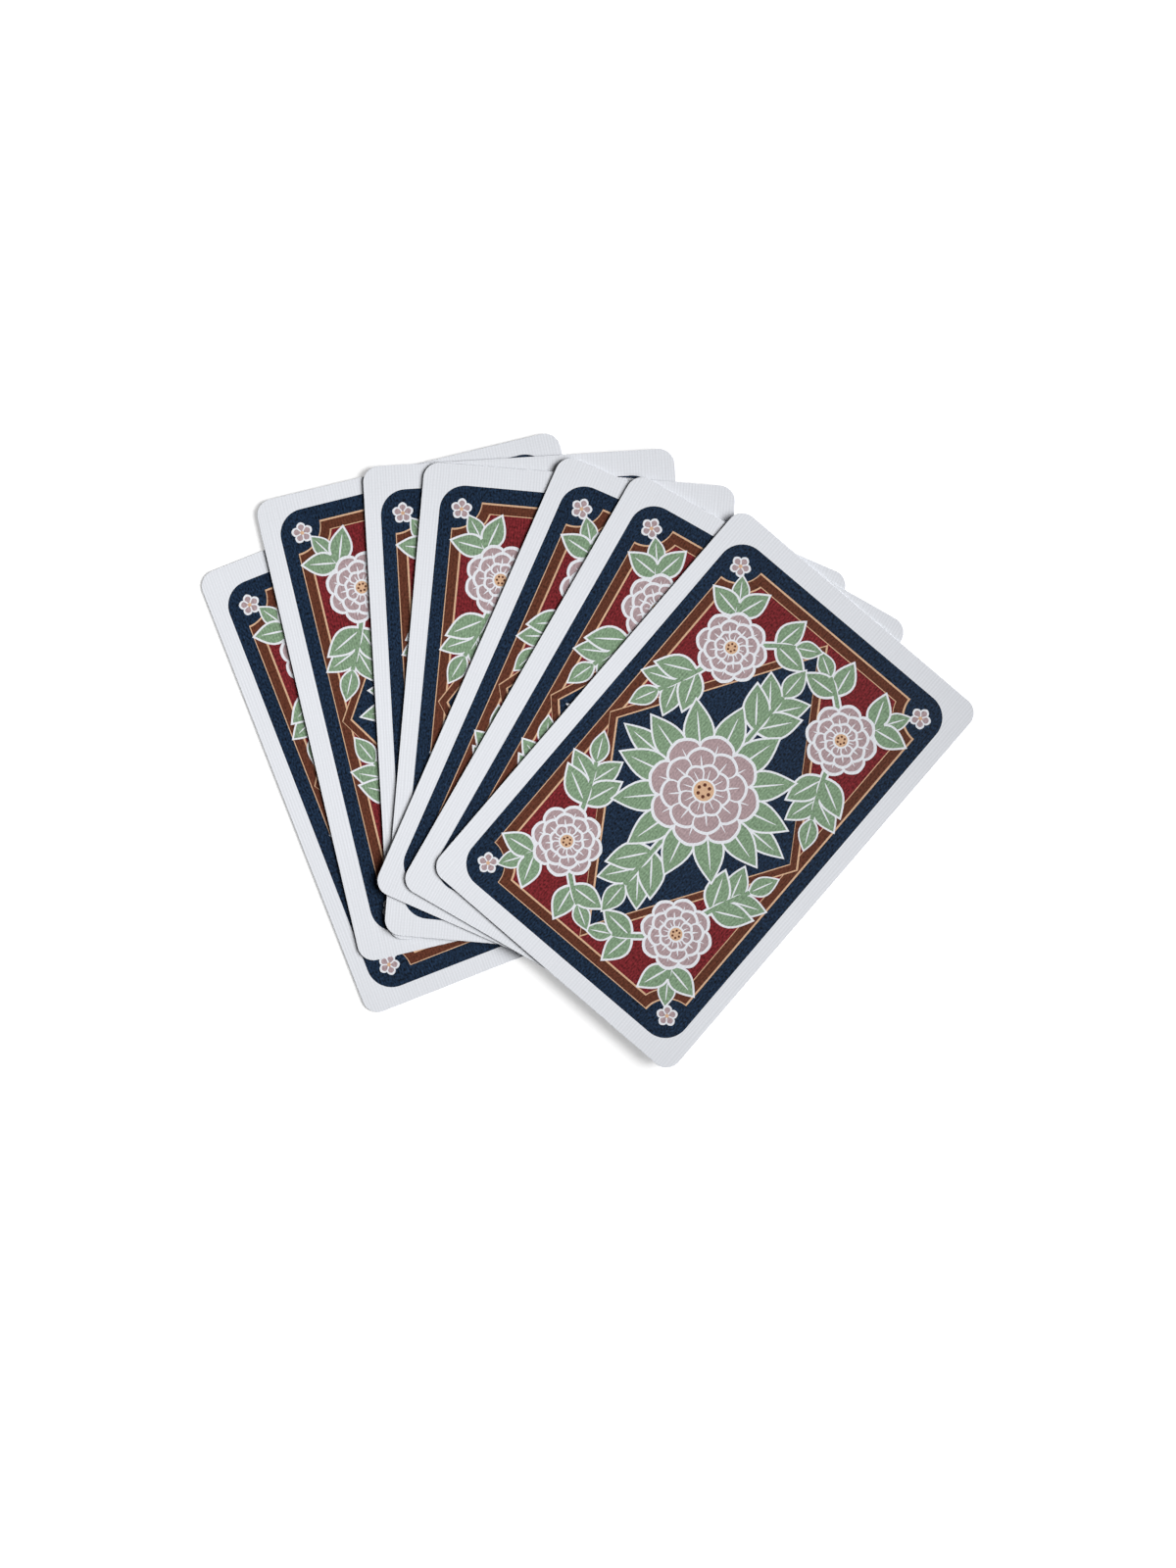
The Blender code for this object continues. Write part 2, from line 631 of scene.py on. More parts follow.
class Growth:
    """The Geometry Nodes trees that grow petals in rings and leaves along stems.

    Each tree draws flat shapes one above the other, which are read back in that order. A blade
    takes three levels of height: its white outline, the blade itself and the white rib on it.

    Attributes:
        PROFILE_POINTS: how many points a blade's edge has.
        STEM_POINTS: how many points a stem has.
        TIP_GROWTH: how far an outline reaches past its blade's ends, in widths of the outline.
        RIB_START: where a rib starts, as a share of its blade's length.
        RIB_LENGTH: how long it is, as a share of that length.
        RIB_SHAPE: its belly and its fullness.
        LEVELS: the heights of outline, blade and rib.
        BLADE_LEVELS: from one blade's outline to the next one's.
        STEM_LEVEL: the height of a stem's outline, below every blade.
        SHAPE_SOCKETS: the inputs that give a blade's shape.
        STEM_SOCKETS: the inputs that give a stem's points.
    """

    PROFILE_POINTS = 32
    STEM_POINTS = 18
    TIP_GROWTH = 1.5
    RIB_START = 0.10
    RIB_LENGTH = 0.72
    RIB_SHAPE = {"Belly": 0.8, "Fullness": 0.6}
    LEVELS = (0.0, 1.0, 2.0)
    BLADE_LEVELS = 3.0
    STEM_LEVEL = -1.0
    SHAPE_SOCKETS = ("Length", "Half Width", "Belly", "Fullness", "Outline")
    STEM_SOCKETS = ("Start", "Start Handle", "End Handle", "End")

    def __init__(self, shop: PrintShop) -> None:
        """Builds the trees, which take their inks from the print shop."""
        self.shop = shop
        self.blade = self.blade_tree()
        self.ring = self.ring_tree()
        self.spray = self.spray_tree()

    def blade_tree(self) -> bpy.types.NodeTree:
        """The group that draws one blade.

        Returns:
            The group, whose blade lies along +X and is a petal, a leaf or the rib of either.
        """
        inputs = dict.fromkeys(("Root", *self.SHAPE_SOCKETS, "Level"), Socket.FLOAT)
        board = GroupBoard(TreeKind.GEOMETRY, "blade", inputs, {"Blade": Socket.GEOMETRY})
        points = {"Vertices": self.PROFILE_POINTS}
        loop = board.wire("GeometryNodeMeshCircle", points, fill_type="NGON")
        way_round = board.wire("GeometryNodeInputIndex") / (self.PROFILE_POINTS / 2)
        side = board.math("SIGN", 1.0 - way_round)
        to_tip = 0.5 - board.math("COSINE", (1.0 - abs(1.0 - way_round)) * math.pi) * 0.5
        outline = board.given("Outline")
        past_end = outline * self.TIP_GROWTH
        x = board.given("Root") - past_end + to_tip * (board.given("Length") + past_end * 2.0)
        swell = board.math("SINE", to_tip ** board.given("Belly") * math.pi)
        swell = board.math("MAXIMUM", swell, 0.0) ** board.given("Fullness")
        y = side * swell * (board.given("Half Width") + outline)
        placed = {"Geometry": loop, "Position": board.vector(x, y, board.given("Level"))}
        board.put("Blade", board.wire("GeometryNodeSetPosition", placed))
        return board.tree

    def layers(self, board: GroupBoard, root: Term) -> list[tuple[Wire, Wire]]:
        """The three blades of a petal or a leaf, each with its ink.

        Args:
            board: the board that has the sizes among its inputs.
            root: how far from its own origin a blade starts.

        Returns:
            Outline, blade and rib, lowest first.
        """
        outlined = {"Root": root} | {title: board.given(title) for title in self.SHAPE_SOCKETS}
        length = board.given("Length")
        rib = {
            "Root": root + length * self.RIB_START,
            "Length": length * self.RIB_LENGTH,
            "Half Width": board.given("Rib"),
            **self.RIB_SHAPE,
        }
        shapes = (outlined, {**outlined, "Outline": 0.0}, rib)
        inks = (board.given("Line Ink"), board.given("Ink"), board.given("Line Ink"))
        return [
            (board.wire("GeometryNodeGroup", {**shape, "Level": level}, node_tree=self.blade), ink)
            for shape, level, ink in zip(shapes, self.LEVELS, inks)
        ]

    @staticmethod
    def inked(board: GroupBoard, shape: Wire, ink: Wire) -> Wire:
        """A shape as a real mesh in one ink."""
        real = board.wire("GeometryNodeRealizeInstances", {"Geometry": shape})
        return board.wire("GeometryNodeSetMaterial", {"Geometry": real, "Material": ink})

    def plant(self, board: GroupBoard, spots: dict[str, Wire], root: Term) -> bpy.types.Node:
        """Sets blades with all their layers on points.

        Args:
            board: the board that has the sizes among its inputs.
            spots: the points, and how a blade is turned and scaled on each.
            root: how far from its point a blade starts.

        Returns:
            The node that joins the layers and takes further shapes.
        """
        join = board.add("GeometryNodeJoinGeometry")
        for blade, ink in self.layers(board, root):
            blades = board.wire("GeometryNodeInstanceOnPoints", {**spots, "Instance": blade})
            board.feed(join.inputs[0], self.inked(board, blades, ink))
        return join

    def tree_board(
        self, name: str, count: str, sizes: Sequence[str], places: Sequence[str] = ()
    ) -> GroupBoard:
        """A geometry tree's board, with the sockets that rings and sprays share.

        Args:
            name: the tree's name.
            count: the name of the input that is a whole number.
            sizes: names of further inputs that are lengths, shares or angles.
            places: names of the inputs that are points.

        Returns:
            The new board.
        """
        inputs = dict.fromkeys((*self.SHAPE_SOCKETS, "Rib", *sizes), Socket.FLOAT)
        inputs[count] = Socket.INT
        inputs |= dict.fromkeys(places, Socket.VECTOR)
        inputs |= dict.fromkeys(("Ink", "Line Ink"), Socket.MATERIAL)
        return GroupBoard(TreeKind.GEOMETRY, name, inputs, {"Shapes": Socket.GEOMETRY})

    def ring_tree(self) -> bpy.types.NodeTree:
        """The tree that sets blades round a middle.

        Returns:
            The tree.
        """
        board = self.tree_board("petal_ring", "Count", ("Root", "Turn"))
        count = board.given("Count")
        index = board.wire("GeometryNodeInputIndex")
        stacked = board.vector(0.0, 0.0, index * self.BLADE_LEVELS)
        turn = board.given("Turn") + index * math.tau / count
        spots = {
            "Points": board.wire("GeometryNodePoints", {"Count": count, "Position": stacked}),
            "Rotation": board.vector(0.0, 0.0, turn),
        }
        join = self.plant(board, spots, board.given("Root"))
        board.put("Shapes", Wire(board, join.outputs[0]))
        return board.tree

    def spray_tree(self) -> bpy.types.NodeTree:
        """The tree that sets pairs of blades along a curved stem, with one more at its tip.

        Returns:
            The tree.
        """
        sizes = ("Bare", "Spread", "Taper", "Stem")
        board = self.tree_board("leaf_spray", "Pairs", sizes, self.STEM_SOCKETS)
        pairs = board.given("Pairs")
        ends = {title: board.given(title) for title in self.STEM_SOCKETS}
        segment = {"Resolution": self.STEM_POINTS, **ends}
        stem = board.wire("GeometryNodeCurvePrimitiveBezierSegment", segment)
        trimmed = {"Curve": stem, "Start": board.given("Bare")}
        leafy = board.wire("GeometryNodeTrimCurve", trimmed, mode="FACTOR")
        spaced = {"Curve": leafy, "Count": pairs + 1.0}
        nodes = board.add("GeometryNodeCurveToPoints", spaced, mode="COUNT")
        doubled = {"Geometry": Wire(board, nodes.outputs["Points"]), "Amount": 2}
        twins = board.wire("GeometryNodeDuplicateElements", doubled, domain="POINT")
        index = board.wire("GeometryNodeInputIndex")
        pair = board.math("FLOOR", index * 0.5)
        side = 1.0 - (index - pair * 2.0) * 2.0
        before_tip = board.math("LESS_THAN", pair, pairs - 0.5)
        last = pairs * 2.0 + 1.0
        stacked = board.vector(0.0, 0.0, (last - index) * self.BLADE_LEVELS)
        along_x, along_y = board.parts(Wire(board, nodes.outputs["Tangent"]))
        heading = board.math("ARCTAN2", along_y, along_x)
        turn = heading + side * before_tip * board.given("Spread")
        size = 1.0 - board.given("Taper") * pair / pairs
        spots = {
            "Points": board.wire("GeometryNodeSetPosition", {"Geometry": twins, "Offset": stacked}),
            "Rotation": board.vector(0.0, 0.0, turn),
            "Scale": board.vector(size, size, 1.0),
        }
        join = self.plant(board, spots, 0.0)
        half = board.given("Stem") * 0.5
        under = (half + board.given("Outline"), self.STEM_LEVEL, "Line Ink")
        over = (half, (last + 1.0) * self.BLADE_LEVELS, "Ink")
        for half_width, level, ink in (under, over):
            band = self.stem_band(board, stem, half_width, level)
            board.feed(join.inputs[0], self.inked(board, band, board.given(ink)))
        board.put("Shapes", Wire(board, join.outputs[0]))
        return board.tree

    @staticmethod
    def stem_band(board: GroupBoard, stem: Wire, half_width: Wire, level: Term) -> Wire:
        """A flat band along a stem.

        Args:
            board: the board to draw on.
            stem: the stem's curve.
            half_width: half the band's width.
            level: its height.

        Returns:
            The band.
        """
        flat = board.wire("GeometryNodeSetCurveNormal", {"Curve": stem}, mode="Z_UP")
        ends = {"Start": board.vector(half_width * -1.0, 0.0), "End": board.vector(half_width, 0.0)}
        profile = board.wire("GeometryNodeCurvePrimitiveLine", ends)
        band = board.wire("GeometryNodeCurveToMesh", {"Curve": flat, "Profile Curve": profile})
        lift = {"Geometry": band, "Offset": board.vector(0.0, 0.0, level)}
        return board.wire("GeometryNodeSetPosition", lift)

    def grow(self, tree: bpy.types.NodeTree, sizes: dict[str, object]) -> list[Region]:
        """Runs a tree and reads its faces as regions, lowest level first.

        Args:
            tree: the tree to run.
            sizes: a value for every input of the tree, by name.

        Returns:
            The regions, in millimetres.
        """
        host = add_object(tree.name, bpy.data.meshes.new(tree.name))
        modifier = host.modifiers.new(tree.name, "NODES")
        modifier.node_group = tree
        for socket in tree.interface.items_tree:
            if socket.in_out == "INPUT":
                modifier[socket.identifier] = sizes[socket.name]
        mesh = take_mesh(host)
        faces = []
        for face in mesh.polygons:
            corners = [mesh.vertices[i].co for i in face.vertices]
            ink = self.shop.inks[mesh.materials[face.material_index].name]
            faces.append((corners[0].z, Region([(c.x, c.y) for c in corners], ink)))
        bpy.data.meshes.remove(mesh)
        return [region for _, region in sorted(faces, key=lambda pair: pair[0])]


@dataclass(frozen=True)
class Blade:
    """The shape of a petal or a leaf, in millimetres.

    Attributes:
        length: from its root to its tip.
        half_width: half its greatest width.
        belly: where it is widest: above 1 nearer the tip, below 1 nearer the root.
        fullness: how round its ends are: small is blunt, 1 and more is pointed.
        ink: what fills it.
        outline: the width of the white line round it.
        rib: half the width of the white line along it.
    """

    length: float
    half_width: float
    belly: float
    fullness: float
    ink: Ink
    outline: float = 0.40
    rib: float = 0.17

    def sizes(self, growth: Growth) -> dict[str, object]:
        """The inputs that a tree takes from this blade.

        Args:
            growth: what will grow it.

        Returns:
            A value for each of those inputs, by name.
        """
        return {
            "Length": self.length,
            "Half Width": self.half_width,
            "Belly": self.belly,
            "Fullness": self.fullness,
            "Outline": self.outline,
            "Rib": self.rib,
            "Ink": growth.shop.materials[self.ink],
            "Line Ink": growth.shop.materials[Ink.PAPER],
        }


def leaf(length: float, half_width: float) -> Blade:
    """A pointed green leaf, widest a little nearer its root."""
    return Blade(length, half_width, belly=0.85, fullness=1.0, ink=Ink.SAGE)


@dataclass(frozen=True)
class PetalRing:
    """Blades set evenly round a middle.

    Attributes:
        blade: the shape of each.
        count: how many there are.
        root: how far from the middle they start, in millimetres.
        turn_deg: where the first one points.
    """

    blade: Blade
    count: int
    root: float
    turn_deg: float = 0.0

    def regions(self, growth: Growth) -> list[Region]:
        """The ring's regions, about the plan's middle."""
        own = {"Count": self.count, "Root": self.root, "Turn": math.radians(self.turn_deg)}
        return growth.grow(growth.ring, self.blade.sizes(growth) | own)


@dataclass(frozen=True)
class LeafSpray:
    """A curved stem with pairs of leaves and a last leaf at its tip, in millimetres.

    Attributes:
        blade: the shape of the largest leaf.
        stem: the stem's start, its two handles and its end.
        pairs: how many pairs of leaves it has.
        bare: the share of the stem before the first pair.
        spread_deg: how far the leaves lean from the stem.
        taper: the share of its size that a leaf has lost at the tip.
        thickness: the stem's width.
    """

    blade: Blade
    stem: tuple[Point, ...]
    pairs: int
    bare: float = 0.25
    spread_deg: float = 42.0
    taper: float = 0.25
    thickness: float = 0.75

    def regions(self, growth: Growth) -> list[Region]:
        """The spray's regions, where its stem is.

        Args:
            growth: what grows it.

        Returns:
            The regions, lowest first.
        """
        own = {title: (x, y, 0.0) for title, (x, y) in zip(Growth.STEM_SOCKETS, self.stem)}
        own |= {
            "Pairs": self.pairs,
            "Bare": self.bare,
            "Spread": math.radians(self.spread_deg),
            "Taper": self.taper,
            "Stem": self.thickness,
        }
        return growth.grow(growth.spray, self.blade.sizes(growth) | own)


class PetalRow(NamedTuple):
    """One ring of a rosette's petals.

    Attributes:
        root: how far from the middle they start, as a share of the rosette's radius.
        length: their length, as a share of it.
        half_width: half their width, as a share of it.
        belly: where they are widest.
        outline: the width of the white line round them, in millimetres.
        rib: half the width of the white line along them, in millimetres.
        turn_deg: where the first one points.
    """

    root: float
    length: float
    half_width: float
    belly: float
    outline: float
    rib: float
    turn_deg: float


@dataclass(frozen=True)
class Rosette:
    """A double rosette with a small inner ring and a dotted eye.

    Attributes:
        radius: how far its petals reach, in millimetres.
        rows: its rings of petals, lowest first.
        petals: how many petals a ring has.
        fullness: how round the petals' ends are.
        eye: the radius of the eye, as a share of the rosette's.
        eye_line: the width of the white line round the eye, in millimetres.
        dots: how many dots the eye has.
        dot_ring: how far they are from the middle, as a share of the rosette's radius.
        dot: a dot's radius, as a share of it.
        dot_steps: how many points a dot has.
    """

    radius: float
    rows: tuple[PetalRow, ...] = (
        PetalRow(0.28, 0.72, 0.300, belly=1.9, outline=0.40, rib=0.17, turn_deg=22.5),
        PetalRow(0.20, 0.56, 0.235, belly=1.9, outline=0.38, rib=0.17, turn_deg=0.0),
        PetalRow(0.12, 0.34, 0.150, belly=1.7, outline=0.34, rib=0.10, turn_deg=22.5),
    )
    petals: int = 8
    fullness: float = 0.62
    eye: float = 0.19
    eye_line: float = 0.36
    dots: int = 6
    dot_ring: float = 0.11
    dot: float = 0.035
    dot_steps: int = 10

    def petal(self, row: PetalRow) -> Blade:
        """The shape of the petals in one ring.

        Args:
            row: the ring.

        Returns:
            The shape.
        """
        return Blade(
            length=row.length * self.radius,
            half_width=row.half_width * self.radius,
            belly=row.belly,
            fullness=self.fullness,
            ink=Ink.PINK,
            outline=row.outline,
            rib=row.rib,
        )

    def regions(self, growth: Growth) -> list[Region]:
        """The rosette's regions, about the plan's middle.

        Args:
            growth: what grows its petals.

        Returns:
            The regions, lowest first.
        """
        regions = []
        for row in self.rows:
            ring = PetalRing(self.petal(row), self.petals, row.root * self.radius, row.turn_deg)
            regions += ring.regions(growth)
        regions.append(Region(disc(MIDDLE, self.eye * self.radius + self.eye_line), Ink.PAPER))
        regions.append(Region(disc(MIDDLE, self.eye * self.radius), Ink.TAN))
        for spot in disc(MIDDLE, self.dot_ring * self.radius, self.dots):
            regions.append(Region(disc(spot, self.dot * self.radius, self.dot_steps), Ink.BROWN))
        return regions


# The two prints of a card


@dataclass(frozen=True)
class Strap:
    """A brown strap between two tan lines, measured inwards from its outer edge.

    Attributes:
        line: the width of a tan line, before the light.
        band: the width of the brown strap.
        light: how far the strap moves over its lines, as if lit from above it and from the right.
    """

    line: float = 0.25
    band: float = 1.66
    light: Point = (-0.09, -0.09)

    @property
    def width(self) -> float:
        """From the outer edge to the inner one."""
        return self.line + self.band + self.line

    def steps(self, inside: Ink) -> list[tuple[float, Ink, Point]]:
        """The inks of the strap, one inside the other.

        Args:
            inside: the ink inside the strap.

        Returns:
            How far inside the outer edge each ink begins, the ink, and how far it is moved.
        """
        return [
            (0.0, Ink.TAN, MIDDLE),
            (self.line, Ink.BROWN, self.light),
            (self.line + self.band, Ink.TAN, self.light),
            (self.width, inside, MIDDLE),
        ]


@dataclass
class BackPrint:
    """The card's back: a dark panel with a strapwork frame, a lozenge, rosettes and sprays.

    Attributes:
        growth: what grows its petals and leaves.
        panel: half the dark panel's width and height, in millimetres.
        panel_corner: the radius of its corners.
        panel_steps: the steps of such a corner.
        frame_margin: the dark band between the panel's edge and the frame, at the sides and ends.
        scoop: the radius of the frame's hollow corners.
        scoop_steps: the steps of such a corner.
        strap: the frame's strap.
        lozenge_point: how far the lozenge's side points reach over the frame's strap.
        lozenge_strap: the lozenge's strap.
        middle_rosette: the rosette in the middle.
        wreath: the leaves all round it.
        side_leaves: the long leaves on both sides of it.
        rising_spray: the spray that rises from it.
        corner_rosette: the rosette towards each corner.
        corner_place: where the upper right one sits.
        corner_sprays: its sprays towards the side, the top and the corner, with stems from its middle.
        blossom: the petals of the small blossom in each corner.
        blossom_inset: from the panel's side and end to the blossom's middle.
        blossom_eye: the radius of its eye.
        blossom_steps: how many points that eye has.
    """

    growth: Growth
    panel: Point = (25.75, 40.3)
    panel_corner: float = 4.75
    panel_steps: int = 12
    frame_margin: Point = (2.56, 2.85)
    scoop: float = 5.2
    scoop_steps: int = 14
    strap: Strap = Strap()
    lozenge_point: float = 1.6
    lozenge_strap: Strap = Strap(line=0.22, band=1.16)
    middle_rosette: Rosette = Rosette(10.0)
    wreath: PetalRing = PetalRing(leaf(10.8, 2.6), count=12, root=6.0, turn_deg=15.0)
    side_leaves: PetalRing = PetalRing(leaf(10.2, 2.0), count=2, root=8.6)
    rising_spray: LeafSpray = LeafSpray(
        leaf(8.4, 2.3),
        stem=((0.0, 9.0), (0.0, 14.0), (0.0, 18.0), (0.0, 22.6)),
        pairs=2,
        bare=0.42,
        spread_deg=38.0,
    )
    corner_rosette: Rosette = Rosette(6.2)
    corner_place: Point = (13.2, 23.4)
    corner_sprays: tuple[LeafSpray, ...] = (
        LeafSpray(
            leaf(7.6, 2.1),
            stem=((0.6, -3.0), (2.0, -8.0), (3.8, -11.5), (5.3, -14.6)),
            pairs=2,
            bare=0.38,
        ),
        LeafSpray(
            leaf(6.6, 1.9),
            stem=((-3.0, 3.0), (-5.5, 5.2), (-7.2, 6.6), (-9.0, 7.6)),
            pairs=1,
            bare=0.55,
        ),
        LeafSpray(
            leaf(6.6, 1.9),
            stem=((1.5, 2.5), (2.6, 4.6), (3.4, 6.0), (4.2, 7.2)),
            pairs=1,
            bare=0.62,
            spread_deg=50.0,
        ),
    )
    blossom: PetalRing = PetalRing(
        Blade(1.35, 0.55, belly=1.5, fullness=0.6, ink=Ink.PINK, outline=0.28, rib=0.0),
        count=5,
        root=0.25,
        turn_deg=90.0,
    )
    blossom_inset: Point = (4.1, 4.4)
    blossom_eye: float = 0.36
    blossom_steps: int = 12

    def ground(self) -> list[Region]:
        """The panel, the frame and the lozenge.

        Returns:
            Their inks, laid one inside the other.
        """
        half_width = self.panel[0] - self.frame_margin[0]
        half_height = self.panel[1] - self.frame_margin[1]
        panel = rounded_panel(*self.panel, self.panel_corner, self.panel_steps)
        regions = [Region(panel, Ink.NAVY)]
        for inset, ink, by in self.strap.steps(Ink.CRIMSON):
            loop = scooped_panel(half_width, half_height, self.scoop, inset, self.scoop_steps)
            regions += moved([Region(loop, ink)], by)
        side = half_width - self.strap.width + self.lozenge_point
        end = half_height - self.strap.width
        for inset, ink, by in self.lozenge_strap.steps(Ink.NAVY):
            regions += moved([Region(lozenge(side, end, inset), ink)], by)
        return regions

    def middle_leaves(self) -> list[Region]:
        """The leaves round the middle rosette.

        Returns:
            The leaves at its sides, the sprays up and down from it, and the wreath over them.
        """
        regions = self.side_leaves.regions(self.growth)
        upper = self.rising_spray.regions(self.growth)
        regions += upper + mirrored(upper, 1, -1)
        return regions + self.wreath.regions(self.growth)

    def corner_leaves(self) -> list[Region]:
        """The leaves round the upper right rosette.

        Returns:
            Its sprays, in their order.
        """
        x, y = self.corner_place
        regions = []
        for spray in self.corner_sprays:
            stem = tuple((x + across, y + along) for across, along in spray.stem)
            regions += replace(spray, stem=stem).regions(self.growth)
        return regions

    def corner_blossom(self) -> list[Region]:
        """The small blossom in the hollow of the frame's upper right corner.

        Returns:
            Its petals and its eye.
        """
        eye = Region(disc(MIDDLE, self.blossom_eye, self.blossom_steps), Ink.TAN)
        place = (self.panel[0] - self.blossom_inset[0], self.panel[1] - self.blossom_inset[1])
        return moved([*self.blossom.regions(self.growth), eye], place)

    def regions(self) -> list[Region]:
        """The whole print.

        Returns:
            Its regions, in the order in which their inks lie on each other.
        """
        regions = self.ground()
        regions += in_four_corners(self.corner_leaves() + self.corner_blossom())
        regions += self.middle_leaves()
        corner = moved(self.corner_rosette.regions(self.growth), self.corner_place)
        return regions + in_four_corners(corner) + self.middle_rosette.regions(self.growth)


class Suit(Enum):
    """The four common suits."""

    HEART = auto()
    SPADE = auto()
    DIAMOND = auto()
    CLUB = auto()

    @property
    def ink(self) -> Ink:
        """The colour that the suit is printed in."""
        return Ink.PIP_RED if self in (Suit.HEART, Suit.DIAMOND) else Ink.PIP_BLACK

    def pip(self) -> list[Loop]:
        """The suit's mark.

        Returns:
            Its loops round the mark's middle, together about one unit high.
        """
        foot = [(0.0, -0.05), (-0.05, -0.28), (-0.20, -0.50), (0.20, -0.50), (0.05, -0.28)]
        if self is Suit.HEART:
            return [heart()]
        if self is Suit.SPADE:
            return [[(x, 0.08 - 0.92 * y) for x, y in heart()], foot]
        if self is Suit.DIAMOND:
            half = [(0.38, 0.0), (0.17, 0.23), (0.0, 0.5), (-0.17, 0.23)]
            return [half + [(-x, -y) for x, y in half]]
        lobes = ((0.0, 0.26), (-0.25, -0.07), (0.25, -0.07))
        return [*(disc(lobe, 0.23) for lobe in lobes), foot]


@dataclass
class FacePrint:
    """A number card's face: pips in rows, with the number and a pip in two corners.

    Attributes:
        rank: the card's number, from 2 to 10.
        suit: its suit.
        column: how far the side columns are from the middle, in millimetres.
        row: how far the first and last rows are from the middle.
        pip_height: about how high a pip is.
        index: where the upper left number sits.
        index_height: the height of the number.
        index_drop: how far the pip is below the number, in the number's heights.
        index_pip: about how high that pip is, in the same.
        SIDE_ROWS: how many pips a side column has, by rank.
        MIDDLE_ROWS: where the middle column's pips are, by rank, in shares of row.
    """

    rank: int
    suit: Suit
    column: float = 10.5
    row: float = 28.0
    pip_height: float = 11.0
    index: Point = (-24.2, 37.2)
    index_height: float = 6.4
    index_drop: float = 1.15
    index_pip: float = 0.85

    SIDE_ROWS = {4: 2, 5: 2, 6: 3, 7: 3, 8: 3, 9: 4, 10: 4}
    MIDDLE_ROWS = {
        2: (1, -1), 3: (1, 0, -1), 5: (0,), 7: (0.5,), 8: (0.5, -0.5), 9: (0,), 10: (2 / 3, -2 / 3)
    }

    def places(self) -> list[Point]:
        """Where the pips sit.

        Returns:
            Their middles.
        """
        count = self.SIDE_ROWS.get(self.rank, 0)
        rows = [1.0 - 2.0 * i / (count - 1) for i in range(count)]
        sides = [(side * self.column, row * self.row) for side in (1, -1) for row in rows]
        return sides + [(0.0, row * self.row) for row in self.MIDDLE_ROWS.get(self.rank, ())]

    def numeral(self) -> list[Region]:
        """The rank in plain figures.

        Returns:
            Its regions, one unit high, about the number's middle.
        """
        text = bpy.data.curves.new("numeral", "FONT")
        text.body = str(self.rank)
        mesh = take_mesh(add_object("numeral", text))
        across = [vertex.co.x for vertex in mesh.vertices]
        along = [vertex.co.y for vertex in mesh.vertices]
        middle = ((min(across) + max(across)) / 2, (min(along) + max(along)) / 2)
        height = max(along) - min(along)
        flat = [((x - middle[0]) / height, (y - middle[1]) / height) for x, y in zip(across, along)]
        loops = [[flat[i] for i in face.vertices] for face in mesh.polygons]
        bpy.data.meshes.remove(mesh)
        return [Region(loop, self.suit.ink) for loop in loops]

    def regions(self) -> list[Region]:
        """The whole print.

        Returns:
            Its regions, as they read from the face's side.
        """
        pip = [Region(loop, self.suit.ink) for loop in self.suit.pip()]
        regions = []
        for place in self.places():
            regions += moved(pip, place, self.pip_height, 180.0 if place[1] < 0 else 0.0)
        x, y = self.index
        below = (x, y - self.index_drop * self.index_height)
        corner = moved(self.numeral(), (x, y), self.index_height)
        corner += moved(pip, below, self.index_pip * self.index_height)
        return regions + corner + moved(corner, MIDDLE, turn_deg=180.0)


# The sheets


class Side(Enum):
    """Which side of a card a face belongs to."""

    BACK = auto()
    FACE = auto()


class Imprint(NamedTuple):
    """One side's plan, cut into triangles of ink.

    Attributes:
        points: the triangles' corners.
        triangles: the numbers of each triangle's corners, anticlockwise.
        inks: each triangle's ink.
        rim: the numbers of the outline's corners, in order.
    """

    points: list[Point]
    triangles: list[tuple[int, ...]]
    inks: list[Ink]
    rim: list[int]


# Regions with a smaller area are left out, in square millimetres
LEAST_AREA = 0.0005

# Points that are nearer to each other become one, in millimetres
LEAST_GAP = 1e-5

# The triangulation's setting that keeps what is inside a loop and drops the rest
KEEP_INSIDE = 1


def imprint(outline: Loop, regions: Sequence[Region]) -> Imprint:
    """Cuts an outline into triangles, each in the ink that lies uppermost there.

    Args:
        outline: the side's own outline, anticlockwise, on bare stock.
        regions: the print, lowest first, inside the outline.

    Returns:
        The triangles.
    """
    layers = [Region(outline, Ink.PAPER), *(r for r in regions if abs(area(r.loop)) > LEAST_AREA)]
    corners: list[Vector] = []
    loops: list[list[int]] = []
    for loop, _ in layers:
        loops.append(list(range(len(corners), len(corners) + len(loop))))
        corners += [Vector(p) for p in anticlockwise(loop)]
    cut = delaunay_2d_cdt(corners, [], loops, KEEP_INSIDE, LEAST_GAP)
    points, _, triangles, merged, _, covers = cut
    landed = {start: end for end, starts in enumerate(merged) for start in starts}
    return Imprint(
        points=[(p.x, p.y) for p in points],
        triangles=[tuple(triangle) for triangle in triangles],
        inks=[layers[max(cover)].ink for cover in covers],
        rim=[landed[i] for i in loops[0]],
    )


